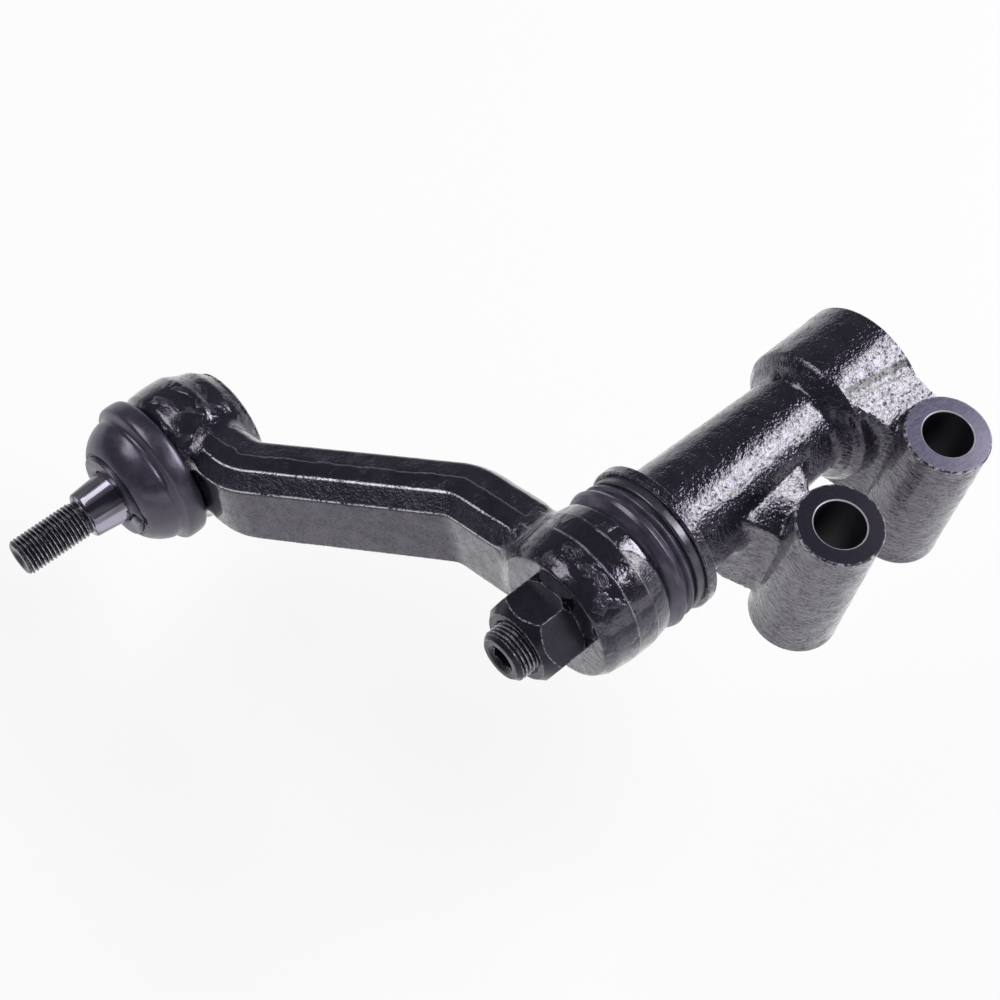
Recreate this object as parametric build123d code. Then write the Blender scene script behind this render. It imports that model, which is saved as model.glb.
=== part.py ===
from build123d import *
import math
import os

os.makedirs("parts", exist_ok=True)

# bolt bosses of the bracket, axis along Z, machined ends at z = 0 and z = -boss_length
boss_spacing = 52.0
boss_length = 61.2
boss_top_r = 14.45
boss_foot_r = 15.6
bolt_bore_r = 8.5
bore_chamfer = 0.45

# pivot axis, along X
pivot_y = 39.4
pivot_z = -21.7

# bracket casting, radii around the pivot axis
flange_front_x = -65.8
flange_t = 3.8
flange_back_x = flange_front_x + flange_t
flange_r = 26.2
barrel_front_r = 20.5
barrel_back_r = 18.3
head_front_x = 5.0
head_length = 32.2
head_back_x = head_front_x + head_length
head_r = 25.1

# shaft and its bearings
journal_r = 11.0
bush_wall = 2.5
run_gap = 0.03
seat_gap = 0.02
bush_flange_r = 17.8
bush_flange_t = 2.5
front_bush_len = 24.0
rear_bush_x = -20.0
rear_bush_len = 24.0
relief_front_x = flange_front_x + front_bush_len + 3.8
relief_back_x = rear_bush_x - 4.0
thrust_t = 2.4
cup_r = 20.5
step_x = 8.5
shaft_head_r = 16.5
shaft_head_t = 6.0
pad_t = 3.4
spring_t = 3.6
plug_t = 5.6
snap_t = 1.8
snap_groove_depth = 1.3
port_r = 2.75

# arm
arm_rest_deg = -24.4
arm_length = 166.6
seal_space = 14.5
seal_r = 25.7
eye_width = 27.2
eye_back_x = flange_front_x - seal_space
eye_front_x = eye_back_x - eye_width
eye_rim_r = 22.3
eye_r = 25.6
arm_mid_x = eye_back_x - 12.65
arm_offset = 40.0
arm_half_t = 11.45
arm_half_h = 10.85
arm_drop = 0.35
bend_one_a = 55.0
bend_two_a = 127.2
bend_r = 20.0
taper_big_r = 11.0
taper_slope = 0.0625

# pivot nut and shaft thread
nut_across_flats = 27.4
nut_height = 15.7
shaft_thread_r = 9.0
shaft_end_reach = 22.3
shaft_end_x = eye_front_x - shaft_end_reach
socket_key = 8.0
key_depth = 9.0
nut_turn_deg = 44.0
key_turn_deg = 17.0

# ball joint, positions along the stud axis, from the ball's centre
ball_r = 14.0
ball_x = arm_mid_x - arm_offset - 0.05
ball_gap = 0.05
neck_r = 7.8
spigot_front_x = ball_x - 17.5
collar_r = 26.0
spigot_r = collar_r - 4.6
collar_front_x = ball_x - 11.8
collar_back_x = ball_x + 7.0
cup_bore_r = 18.0
cup_floor_x = ball_x - 10.2
cover_x = ball_x + 15.9
cover_t = 2.2
socket_back_x = ball_x + 19.6
socket_back_r = 17.9
stud_thread_r = 7.0
stud_end_x = ball_x - 72.4
stud_shoulder_x = ball_x - 45.7
taper_small_r = 8.7
taper_large_r = 10.9
taper_start_x = ball_x - 23.6
boot_mouth_x = ball_x - 33.6
boot_insert_x = ball_x - 16.3
boot_lip_r = 16.0
boot_dome_r = 24.0

pivot = Location((0, pivot_y, pivot_z))
arm_place = pivot * Location((0, 0, 0), (1, 0, 0), arm_rest_deg)
ball_place = arm_place * Location((0, arm_length, 0))


# closed outline with some corners rounded, given by point number and radius
def rounded(points, rounds):
    face = make_face(Polyline(*points, close=True))
    for index, radius in rounds.items():
        spot = Vector(points[index][0], points[index][1], 0)
        corner = min(face.vertices(), key=lambda v: (v.center() - spot).length)
        face = fillet(corner, radius)
    return face


# solid of revolution around X from (x, radius) points
def turned_x(points, rounds=None):
    return revolve(rounded(points, rounds or {}), Axis.X)


# plain ring around X, with its outer edges rounded when edge is set
def ring_x(x0, x1, inner, outer, edge=0.0):
    rounds = {2: edge, 3: edge} if edge else {}
    return turned_x([(x0, inner), (x1, inner), (x1, outer), (x0, outer)], rounds)


# cylinder or cone around X
def rod_x(x0, x1, r0, r1=None):
    end = r0 if r1 is None else r1
    return turned_x([(x0, 0), (x1, 0), (x1, end), (x0, r0)])


# six-sided bar along X from x = 0
def hexagon_x(across_flats, length, turn_deg):
    outline = RegularPolygon(across_flats / 2, 6, major_radius=False, rotation=turn_deg)
    return extrude(Plane.YZ * outline, length)


# cutter for a grease port with a countersink at x1
def port_x(x0, x1):
    sink = 0.7 if x1 > x0 else -0.7
    hole = rod_x(min(x0, x1), max(x0, x1), port_r)
    mouth = turned_x([(x1 - sink, 0), (x1 + sink, 0), (x1 + sink, port_r + 1.4), (x1 - sink, port_r)])
    return hole + mouth


# bracket casting

def boss():
    chamfer_z = 0.5
    points = [
        (0, 0),
        (boss_top_r - chamfer_z, 0),
        (boss_top_r, -chamfer_z),
        (boss_foot_r, -boss_length + 1.2),
        (boss_foot_r - 1.2, -boss_length),
        (0, -boss_length),
    ]
    face = Plane.XZ * make_face(Polyline(*points, close=True))
    return revolve(face, Axis.Z)


def bolt_bore():
    r = bolt_bore_r
    c = bore_chamfer
    low = -boss_length
    points = [(0, 1), (r + c + 1, 1), (r, -c), (r, low + c), (r + c + 1, low - 1), (0, low - 1)]
    face = Plane.XZ * make_face(Polyline(*points, close=True))
    return revolve(face, Axis.Z)


def barrel_outer():
    points = [
        (flange_front_x, 0),
        (flange_front_x, flange_r - 0.5),
        (flange_front_x + 0.5, flange_r),
        (flange_back_x - 0.4, flange_r),
        (flange_back_x, flange_r - 0.5),
        (flange_back_x + 0.3, barrel_front_r + 1.2),
        (flange_back_x + 1.6, barrel_front_r),
        (head_front_x - 2.2, barrel_back_r),
        (head_front_x + 0.4, barrel_back_r + 3.6),
        (head_front_x + 3.2, head_r),
        (head_back_x - 0.2, head_r - 0.1),
        (head_back_x, head_r - 1.2),
        (head_back_x, 0),
    ]
    return turned_x(points, {6: 1.2, 7: 1.6, 9: 2.2, 11: 0.6})


def front_web():
    plan = [(-19.8, 27.0), (14.0, 27.0), (13.4, 24.6), (8.2, 15.2)]
    plan += [(9.0, 4.0), (1.0, -4.0), (-9.6, 4.0), (-10.2, 13.4), (-19.2, 24.7)]
    body = extrude(rounded(plan, {3: 5.0, 7: 6.0}), boss_length - 11.2)
    block = Location((-boss_spacing / 2, 0, 5.2 - boss_length)) * body
    top = [(-10, -16.0), (12.5, -15.0), (24.6, -9.4), (30, -7.0), (60, -7.0), (60, 20), (-10, 20)]
    top_cut = extrude(Plane.YZ * make_face(Polyline(*top, close=True)), 120, both=True)
    low = -boss_length
    foot = [(-10, low + 6.2), (13, low + 7.2), (24, low + 14.2)]
    foot += [(60, low + 19.2), (60, low - 20), (-10, low - 20)]
    foot_cut = extrude(Plane.YZ * make_face(Polyline(*foot, close=True)), 120, both=True)
    return block - top_cut - foot_cut


def rear_web():
    plan = [(-16.4, 33.0), (8.6, 33.0), (9.4, 24.0), (12.0, 13.0)]
    plan += [(12.6, 2.0), (0, -4.0), (-10.4, 3.0), (-9.6, 12.7), (-15.8, 26.9)]
    body = extrude(rounded(plan, {2: 6.0, 7: 4.0, 8: 4.0}), boss_length + 0.8)
    block = Location((boss_spacing / 2, 0, 7.2 - boss_length)) * body
    top = [(-10, -6.6), (12.7, -5.7), (26.9, 0), (32, 1.6), (60, 4.0), (60, 20), (-10, 20)]
    top_cut = extrude(Plane.YZ * make_face(Polyline(*top, close=True)), 120, both=True)
    low = -boss_length
    foot = [(-10, low + 8.2), (13, low + 9.2), (24, low + 14.7)]
    foot += [(60, low + 19.2), (60, low - 20), (-10, low - 20)]
    foot_cut = extrude(Plane.YZ * make_face(Polyline(*foot, close=True)), 120, both=True)
    return block - top_cut - foot_cut


def bracket_bore():
    bush_r = journal_r + run_gap + bush_wall + seat_gap
    snap_x = plug_x() + plug_t
    through = rod_x(flange_front_x - 1, step_x + 1, bush_r)
    relief = ring_x(relief_front_x, relief_back_x, bush_r - 0.1, bush_r + 1.2)
    cup = rod_x(step_x, head_back_x + 1, cup_r)
    groove = ring_x(snap_x, snap_x + snap_t + 0.1, cup_r - 0.1, cup_r + snap_groove_depth)
    mouth_x = head_back_x - 0.6
    mouth = turned_x([(mouth_x, 0), (mouth_x + 1.6, 0), (mouth_x + 1.6, cup_r + 1.6), (mouth_x, cup_r)])
    return through + relief + cup + groove + mouth


def bracket_housing():
    bosses = [Location((side * boss_spacing / 2, 0, 0)) * boss() for side in (-1, 1)]
    bores = [Location((side * boss_spacing / 2, 0, 0)) * bolt_bore() for side in (-1, 1)]
    body = pivot * barrel_outer()
    for piece in bosses + [front_web(), rear_web()]:
        body = body + piece
    return body - (pivot * bracket_bore()) - bores[0] - bores[1]


# bearings, shaft and end closure, around the pivot axis

def front_bushing():
    inner = journal_r + run_gap
    sleeve_r = inner + bush_wall
    x0 = flange_front_x - bush_flange_t
    x1 = flange_front_x + front_bush_len
    points = [(x0, inner + 0.5), (x0 + 0.5, inner), (x1, inner), (x1, sleeve_r)]
    points += [(flange_front_x, sleeve_r), (flange_front_x, bush_flange_r), (x0, bush_flange_r)]
    return turned_x(points)


def rear_bushing():
    inner = journal_r + run_gap
    return ring_x(rear_bush_x, rear_bush_x + rear_bush_len, inner, inner + bush_wall)


def thrust_front_x():
    return flange_front_x - bush_flange_t - thrust_t - 0.03


def front_thrust_washer():
    x0 = thrust_front_x()
    return ring_x(x0, x0 + thrust_t, journal_r + 0.1, bush_flange_r - 0.6, 0.3)


def shaft_spacer():
    return ring_x(eye_back_x + 0.4, thrust_front_x() - 0.02, journal_r + 0.04, 15.2, 0.5)


def rear_thrust_washer():
    return ring_x(step_x + 0.02, step_x + thrust_t, journal_r + 0.3, cup_r - 0.6, 0.3)


def thrust_pad():
    x0 = step_x + 0.02 + thrust_t + shaft_head_t + 0.1
    x1 = x0 + pad_t
    return turned_x([(x0, 0), (x1, 0), (x1, 8), (x0 + 2.0, 10), (x0 + 2.0, shaft_head_r), (x0, shaft_head_r)])


def plug_x():
    return step_x + thrust_t + shaft_head_t + pad_t + spring_t + 0.3


def preload_spring():
    x0 = step_x + 0.02 + thrust_t + shaft_head_t + 0.1 + 2.0
    x1 = plug_x() - 0.02
    t = 1.3
    return turned_x([(x0, 14.5), (x0 + t, 14.5), (x1, 20.0 - 1.4), (x1, 20.0), (x1 - t, 20.0)])


def end_plug():
    x0 = plug_x()
    points = [(x0, 0), (x0 + plug_t + 1.8, 0), (x0 + plug_t + 1.8, 7.0), (x0 + plug_t, 9.4)]
    points += [(x0 + plug_t, cup_r - 0.05), (x0, cup_r - 0.05)]
    return turned_x(points) - port_x(x0 - 1, x0 + plug_t + 1.8)


def snap_ring():
    x0 = plug_x() + plug_t + 0.03
    ring = ring_x(x0, x0 + snap_t, cup_r - 2.6, cup_r + snap_groove_depth - 0.2)
    gap = Location((x0 + snap_t / 2, 0, -cup_r)) * Box(snap_t + 2, 9.0, 9.0)
    return ring - gap


def pivot_shaft():
    head_x0 = step_x + 0.02 + thrust_t + 0.02
    head_x1 = head_x0 + shaft_head_t
    small_r = taper_big_r - taper_slope * (eye_back_x - (eye_front_x + 3.0))
    points = [
        (shaft_end_x, 0),
        (shaft_end_x, shaft_thread_r - 1.7),
        (shaft_end_x + 1.7, shaft_thread_r),
        (eye_front_x + 1.8, shaft_thread_r),
        (eye_front_x + 3.0, small_r),
        (eye_back_x, taper_big_r),
        (relief_front_x + 2.0, journal_r),
        (relief_front_x + 3.0, journal_r - 0.8),
        (relief_back_x - 2.0, journal_r - 0.8),
        (relief_back_x - 1.0, journal_r),
        (head_x0, journal_r),
        (head_x0, shaft_head_r),
        (head_x1 - 1.0, shaft_head_r),
        (head_x1, shaft_head_r - 1.0),
        (head_x1, 0),
    ]
    body = turned_x(points)
    key = Location((shaft_end_x, 0, 0)) * hexagon_x(socket_key, key_depth, key_turn_deg)
    return body - key - rod_x(shaft_end_x - 0.5, shaft_end_x + 0.9, 5.6, 4.1)


def pivot_nut():
    corner_r = nut_across_flats / math.sqrt(3)
    hole_r = shaft_thread_r + seat_gap
    x1 = eye_front_x - 0.02
    x0 = x1 - nut_height
    hexagon = Location((x0, 0, 0)) * hexagon_x(nut_across_flats, nut_height, nut_turn_deg)
    cone = [(x0, 0), (x0, corner_r - 3.7), (x0 + 4.3, corner_r)]
    cone += [(x1 - 2.4, corner_r + 0.02), (x1, corner_r - 1.5), (x1, 0)]
    hole = [(x0 - 1, 0), (x0 - 1, hole_r + 2.0), (x0 + 1.0, hole_r)]
    hole += [(x1 - 1.0, hole_r), (x1 + 1, hole_r + 2.0), (x1 + 1, 0)]
    return (hexagon & turned_x(cone)) - turned_x(hole)


# two-lobed rubber seal that fills the space between the arm's eye and the bracket's flange
def dust_seal():
    front = [(0.05, -5.7), (0.05, -3.9), (1.9, -1.7), (3.1, -0.5), (4.5, 0), (5.8, -0.5), (6.7, -1.8)]
    back = [(-7.1, -2.0), (-6.2, -0.8), (-5.4, -0.7), (-4.8, -1.8), (-4.1, -2.7), (-2.8, -2.7), (-2.8, -6.1)]
    inside = [(5.8, -6.1), (2.9, -3.1), (2.1, -4.9), (1.5, -5.7)]
    points = [(eye_back_x + x, seal_r + r) for x, r in front]
    points += [(flange_front_x + x, seal_r + r) for x, r in back]
    points += [(eye_back_x + x, seal_r + r) for x, r in inside]
    return turned_x(points, {2: 0.6, 3: 0.5, 4: 0.7, 5: 0.6, 6: 0.4, 8: 0.3, 9: 0.3, 15: 0.8})


def seal_retainer():
    x0 = flange_front_x - 3.4
    points = [
        (x0, seal_r - 2.6),
        (flange_front_x - 2.75, seal_r - 2.6),
        (flange_front_x - 2.75, seal_r - 7.1),
        (flange_front_x, seal_r - 7.1),
        (flange_front_x, seal_r - 1.0),
        (x0, seal_r - 1.0),
    ]
    return turned_x(points, {4: 0.4, 5: 0.7})


# forged arm, built with its length along Y and the pivot axis along X, then turned to its rest angle

def web_section():
    t = arm_half_t
    h = arm_half_h
    half = [(-t, h), (5.3 - t, h + 5.3), (0.6, h + 6.4), (8.4, h + 5.3), (t, h + 2.3)]
    points = half + [(p, -e) for p, e in reversed(half)]
    return rounded(points, {0: 0.9, 1: 0.9, 3: 1.8, 4: 1.6, 5: 1.6, 6: 1.8, 8: 0.9, 9: 0.9})


def arm_web():
    near_x = arm_mid_x
    far_x = arm_mid_x - arm_offset
    corners = [(near_x, 0), (near_x, bend_one_a), (far_x, bend_two_a), (far_x, arm_length)]
    path = FilletPolyline(*corners, radius=bend_r)
    start = Plane(origin=(near_x, 0, 0), x_dir=(1, 0, 0), z_dir=(0, 1, 0))
    section = start * mirror(web_section(), Plane.XZ)
    return sweep(section, path=path)


# flat of the forging between the web and a round end, with a bevel all round both faces
def neck(center, radius, reach, x0, x1, blend):
    half_width = arm_half_h + 5.6
    disc = Pos(center, 0) * Circle(radius)
    strip = Pos(center + reach / 2, 0) * Rectangle(abs(reach), 2 * half_width)
    outline = disc + strip
    corner_a = center + math.copysign(math.sqrt(radius**2 - half_width**2), reach)
    corners = [v for v in outline.vertices() if abs(v.X - corner_a) < 0.5]
    outline = fillet(corners, blend)
    body = extrude(outline, x1 - x0)
    far_a = center + reach
    faces = body.faces().sort_by(Axis.Z)
    front = [e for e in faces[0].edges() if abs(e.center().X - far_a) > 0.5]
    body = chamfer(front, 5.7)
    back = [e for e in body.faces().sort_by(Axis.Z)[-1].edges() if abs(e.center().X - far_a) > 0.5]
    body = chamfer(back, 3.4)
    turn = Plane(origin=(x0, 0, 0), x_dir=(0, 1, 0), z_dir=(1, 0, 0))
    return turn * body


def eye_body():
    points = [
        (eye_front_x, 0),
        (eye_front_x, eye_rim_r),
        (eye_front_x + 3.4, eye_rim_r + 2.0),
        (eye_front_x + 12.2, eye_r - 0.1),
        (eye_back_x - 7.2, eye_r),
        (eye_back_x - 1.0, eye_r - 1.0),
        (eye_back_x, eye_r - 2.2),
        (eye_back_x, 0),
    ]
    return turned_x(points, {1: 0.5, 2: 3.0, 3: 1.0, 4: 0.8, 5: 0.6})


def socket_body():
    points = [
        (spigot_front_x, 0),
        (spigot_front_x, spigot_r - 0.8),
        (spigot_front_x + 0.8, spigot_r),
        (collar_front_x, spigot_r),
        (collar_front_x, collar_r - 2.6),
        (collar_front_x + 3.2, collar_r - 0.5),
        (ball_x - 3.0, collar_r),
        (collar_back_x - 1.0, collar_r - 0.2),
        (collar_back_x + 1.4, collar_r - 2.4),
        (socket_back_x - 5.6, socket_back_r + 4.2),
        (socket_back_x, socket_back_r),
        (socket_back_x, 0),
    ]
    return turned_x(points, {4: 0.6, 5: 1.6, 7: 1.2, 8: 1.0, 9: 4.0, 10: 2.2})


def eye_hole():
    r_at_back = taper_big_r + seat_gap
    r_at_front = r_at_back - taper_slope * (eye_back_x - eye_front_x)
    return rod_x(eye_front_x - 0.01, eye_back_x + 0.01, r_at_front, r_at_back)


def socket_hole():
    lip_x = cover_x + cover_t + 0.02
    points = [
        (spigot_front_x - 1, 0),
        (spigot_front_x - 1, 16.6),
        (spigot_front_x + 1.0, 15.4),
        (cup_floor_x - 1.0, 13.4),
        (cup_floor_x, 13.4),
        (cup_floor_x, cup_bore_r),
        (lip_x, cup_bore_r),
        (lip_x, cup_bore_r - 2.4),
        (socket_back_x + 1, cup_bore_r - 2.4),
        (socket_back_x + 1, 0),
    ]
    return turned_x(points)


def idler_arm():
    lower = Location((0, 0, -arm_drop))
    web = lower * arm_web()
    front_x = arm_mid_x - arm_half_t + 0.05
    back_x = arm_mid_x + arm_half_t - 0.8
    eye_neck = lower * neck(0, eye_r - 1.0, 34.0, front_x, back_x, 8.0)
    far_front_x = front_x - arm_offset
    far_back_x = back_x - arm_offset
    socket_neck = lower * neck(arm_length, collar_r - 2.0, -31.0, far_front_x, far_back_x, 9.0)
    ball_spot = Location((0, arm_length, 0))
    body = web + eye_body() + eye_neck + socket_neck + ball_spot * socket_body()
    return body - eye_hole() - ball_spot * socket_hole()


# ball joint, around the stud axis

def front_ball_seat():
    x0 = cup_floor_x + 0.02
    x1 = ball_x - 2.6
    inner = ball_r + ball_gap
    mouth_r = 11.4
    start_x = ball_x - math.sqrt(inner**2 - mouth_r**2)
    end_r = math.sqrt(inner**2 - (x1 - ball_x) ** 2)
    mid_x = (start_x + x1) / 2
    mid_r = math.sqrt(inner**2 - (mid_x - ball_x) ** 2)
    outer = cup_bore_r - seat_gap
    points = [(start_x, mouth_r), (x0 + 0.6, mouth_r + 0.8), (x0, mouth_r + 1.6)]
    points += [(x0, outer), (x1, outer), (x1, end_r)]
    line = Polyline(*points)
    arc = ThreePointArc((x1, end_r), (mid_x, mid_r), (start_x, mouth_r))
    return revolve(make_face(Curve() + [line, arc]), Axis.X)


def rear_ball_seat():
    x0 = ball_x + 2.6
    x1 = ball_x + 13.2
    inner = ball_r + ball_gap
    start_r = math.sqrt(inner**2 - 2.6**2)
    end_x = ball_x + math.sqrt(inner**2 - 6.0**2)
    mid_x = ball_x + 8.4
    mid_r = math.sqrt(inner**2 - 8.4**2)
    outer = cup_bore_r - 0.1
    line = Polyline((end_x, 6.0), (x1, 6.0), (x1, 13.0), (x1 - 4.0, outer), (x0, outer), (x0, start_r))
    arc = ThreePointArc((x0, start_r), (mid_x, mid_r), (end_x, 6.0))
    return revolve(make_face(Curve() + [line, arc]), Axis.X)


# conical spring washer between the rear seat and the cover
def seat_spring():
    x1 = cover_x - 0.05
    low = (ball_x + 13.2 + 0.05, 9.6)
    high = (x1, 13.4)
    t = 1.1
    points = [low, (low[0] + t, low[1] - 0.6), (high[0], high[1] - 1.0), high, (high[0] - t, high[1] + 0.6)]
    return turned_x(points)


def socket_cover():
    x0 = cover_x
    x1 = cover_x + cover_t
    points = [
        (x0, 0),
        (x0 + 0.9, 0),
        (x1 + 1.0, 0),
        (x1 + 1.0, 8.0),
        (x1 - 0.6, 14.0),
        (x1, 15.2),
        (x1, cup_bore_r - 0.05),
        (x0, cup_bore_r - 0.05),
    ]
    return turned_x(points, {3: 3.0}) - port_x(x0 - 1, x1 + 1.0)


def ball_stud():
    cup_r0 = 3.9
    start_x = ball_x - math.sqrt(ball_r**2 - neck_r**2)
    outline = Polyline(
        (ball_x + ball_r, 0),
        (stud_end_x + 2.2, 0),
        (stud_end_x, cup_r0),
        (stud_end_x, stud_thread_r - 1.1),
        (stud_end_x + 1.1, stud_thread_r),
        (stud_shoulder_x - 1.6, stud_thread_r),
        (stud_shoulder_x - 1.2, stud_thread_r - 0.5),
        (stud_shoulder_x - 0.4, stud_thread_r - 0.5),
        (stud_shoulder_x, taper_small_r - 0.5),
        (stud_shoulder_x + 0.8, taper_small_r),
        (taper_start_x, taper_large_r),
        (taper_start_x + 2.2, neck_r + 0.6),
        (taper_start_x + 4.0, neck_r),
        (start_x, neck_r),
    )
    ball = ThreePointArc((start_x, neck_r), (ball_x, ball_r), (ball_x + ball_r, 0))
    return revolve(make_face(Curve() + [outline, ball]), Axis.X)


# rubber boot: a grip over the collar, a dome and a flat lip that closes on the stud's taper
def dust_boot():
    mouth_r = stud_taper_r(boot_mouth_x) + 0.25
    front_x = boot_mouth_x
    insert_x = boot_insert_x - 1.5
    points = [
        (collar_front_x - 0.3, spigot_r + 1.0),
        (collar_front_x - 0.3, collar_r - 0.2),
        (collar_front_x - 1.6, collar_r + 1.1),
        (collar_front_x - 6.8, collar_r + 1.2),
        (collar_front_x - 8.0, collar_r + 0.4),
        (collar_front_x - 8.8, boot_dome_r + 0.4),
        (collar_front_x - 9.8, boot_dome_r - 0.3),
        (collar_front_x - 11.4, boot_dome_r),
        (collar_front_x - 15.4, boot_dome_r - 1.8),
        (front_x + 3.2, boot_dome_r - 4.4),
        (front_x + 1.9, boot_lip_r + 1.6),
        (front_x + 2.1, boot_lip_r - 0.1),
        (front_x + 1.0, boot_lip_r),
        (front_x, boot_lip_r - 1.2),
        (front_x, mouth_r),
        (front_x + 3.4, mouth_r + 0.1),
        (front_x + 3.4, boot_lip_r - 0.6),
        (front_x + 5.2, boot_lip_r + 1.6),
        (front_x + 8.0, boot_dome_r - 4.0),
        (insert_x + 0.1, boot_dome_r - 3.8),
        (insert_x + 0.1, spigot_r + 0.15),
        (boot_insert_x, spigot_r + 0.15),
        (boot_insert_x, spigot_r + 1.0),
    ]
    rounds = {2: 1.0, 3: 0.8, 5: 0.7, 6: 0.6, 7: 0.8, 8: 3.0, 9: 1.6, 10: 0.5, 12: 0.4, 13: 0.8, 17: 1.2}
    return turned_x(points, rounds)


def stud_taper_r(x):
    slope = (taper_large_r - taper_small_r) / (taper_start_x - stud_shoulder_x - 0.8)
    return taper_small_r + slope * (x - stud_shoulder_x - 0.8)


def boot_insert_ring():
    return ring_x(boot_insert_x + 0.1, collar_front_x - 0.3, spigot_r + 0.03, spigot_r + 0.95)


def boot_neck_ring():
    x0 = boot_mouth_x + 3.5
    inner = stud_taper_r(x0 + 1.6) + 0.12
    return ring_x(x0, x0 + 1.6, inner, inner + 1.6, 0.3)


pivot_nodes = {
    "front_bushing": front_bushing,
    "rear_bushing": rear_bushing,
    "front_thrust_washer": front_thrust_washer,
    "shaft_spacer": shaft_spacer,
    "rear_thrust_washer": rear_thrust_washer,
    "thrust_pad": thrust_pad,
    "preload_spring": preload_spring,
    "end_plug": end_plug,
    "snap_ring": snap_ring,
    "dust_seal": dust_seal,
    "seal_retainer": seal_retainer,
    "pivot_shaft": pivot_shaft,
    "pivot_nut": pivot_nut,
}
ball_nodes = {
    "front_ball_seat": front_ball_seat,
    "rear_ball_seat": rear_ball_seat,
    "seat_spring": seat_spring,
    "socket_cover": socket_cover,
    "ball_stud": ball_stud,
    "dust_boot": dust_boot,
    "boot_insert_ring": boot_insert_ring,
    "boot_neck_ring": boot_neck_ring,
}

shapes = {"bracket_housing": bracket_housing(), "idler_arm": arm_place * idler_arm()}
for name, make in pivot_nodes.items():
    shapes[name] = pivot * make()
for name, make in ball_nodes.items():
    shapes[name] = ball_place * make()
for name, shape in shapes.items():
    export_step(shape, f"parts/{name}.step")
    print(name, round(shape.volume, 1))
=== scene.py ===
import math

import bmesh
import bpy
import numpy as np
from mathutils import Matrix, Vector, noise


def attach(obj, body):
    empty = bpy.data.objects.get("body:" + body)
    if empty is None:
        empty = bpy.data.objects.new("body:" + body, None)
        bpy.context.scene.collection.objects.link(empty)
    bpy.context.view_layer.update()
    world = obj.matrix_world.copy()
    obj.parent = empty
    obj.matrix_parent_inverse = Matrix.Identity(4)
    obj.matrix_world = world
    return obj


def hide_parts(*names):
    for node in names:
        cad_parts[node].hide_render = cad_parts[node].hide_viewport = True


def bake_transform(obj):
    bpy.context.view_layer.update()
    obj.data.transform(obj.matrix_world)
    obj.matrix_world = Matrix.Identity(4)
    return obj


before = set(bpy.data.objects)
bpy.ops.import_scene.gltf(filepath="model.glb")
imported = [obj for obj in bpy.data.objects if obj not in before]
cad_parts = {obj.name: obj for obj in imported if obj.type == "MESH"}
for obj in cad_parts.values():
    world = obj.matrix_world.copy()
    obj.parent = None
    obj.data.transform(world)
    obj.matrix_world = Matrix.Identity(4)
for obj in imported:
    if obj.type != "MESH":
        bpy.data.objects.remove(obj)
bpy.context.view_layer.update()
print("frame loaded:", len(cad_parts), "nodes")

mm = 0.001  # all sizes below are in millimetres, the scene is in metres


# the layout shared with the part: pivot shaft along X, arm hanging down from it
layout = {
    "pivot": Vector((0.0, 39.4, -21.7)) * mm,
    "armAngle": math.radians(-24.4),
    "armLength": 166.6 * mm,
    "boltSpacing": 52.0,
    "boltBore": 8.5,
    "bossTop": 14.45,
    "webBends": (55.0, 127.2),
    "webMid": (-92.95, -132.95),
}
armDirection = Vector((0, math.cos(layout["armAngle"]), math.sin(layout["armAngle"])))
armUp = Vector((0, -math.sin(layout["armAngle"]), math.cos(layout["armAngle"])))
ballAxis = layout["pivot"] + armDirection * layout["armLength"]
pivotCenter = tuple(layout["pivot"] / mm)
studCenter = tuple(ballAxis / mm)


# camera, at the photograph's place

cameraSetup = {
    "place": Vector((-328.20, -96.58, 492.08)) * mm,
    "right": Vector((0.7345, -0.6702, 0.1062)),
    "up": Vector((0.5497, 0.6794, 0.4861)),
    "back": Vector((-0.3980, -0.2987, 0.8674)),
    "lens": 67.298,
}


def makeCamera(setup):
    camera = bpy.data.objects.new("photoCamera", bpy.data.cameras.new("photoCamera"))
    bpy.context.scene.collection.objects.link(camera)
    camera.data.lens = setup["lens"]
    camera.data.sensor_width = 36
    camera.data.clip_start = 0.01
    camera.data.clip_end = 50
    turn = Matrix((setup["right"], setup["up"], setup["back"])).transposed()
    camera.matrix_world = Matrix.Translation(setup["place"]) @ turn.normalized().to_4x4()
    bpy.context.scene.camera = camera


makeCamera(cameraSetup)


# small helpers for node trees

def feed(tree, socket, value):
    if isinstance(value, bpy.types.NodeSocket):
        tree.links.new(value, socket)
    elif value is not None:
        socket.default_value = value


def addNode(tree, kind, **inputs):
    node = tree.nodes.new(kind)
    for name, value in inputs.items():
        feed(tree, node.inputs[name.replace("_", " ")], value)
    return node


def calc(tree, operation, first, second=None, third=None, clamp=False):
    node = tree.nodes.new("ShaderNodeMath")
    node.operation = operation
    node.use_clamp = clamp
    for socket, value in zip(node.inputs, (first, second, third)):
        feed(tree, socket, value)
    return node.outputs[0]


def vectorCalc(tree, operation, first, second=None):
    node = tree.nodes.new("ShaderNodeVectorMath")
    node.operation = operation
    feed(tree, node.inputs[0], first)
    feed(tree, node.inputs[1], second)
    return node.outputs["Value" if operation in ("DOT_PRODUCT", "LENGTH", "DISTANCE") else "Vector"]


def remap(tree, value, low, high, toLow=0.0, toHigh=1.0):
    node = tree.nodes.new("ShaderNodeMapRange")
    node.interpolation_type = "SMOOTHSTEP"
    for socket, v in zip(node.inputs, (value, low, high, toLow, toHigh)):
        feed(tree, socket, v)
    return node.outputs[0]


def mixColor(tree, factor, first, second):
    node = tree.nodes.new("ShaderNodeMix")
    node.data_type = "RGBA"
    for index, value in ((0, factor), (6, first), (7, second)):
        feed(tree, node.inputs[index], value)
    return node.outputs[2]


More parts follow.
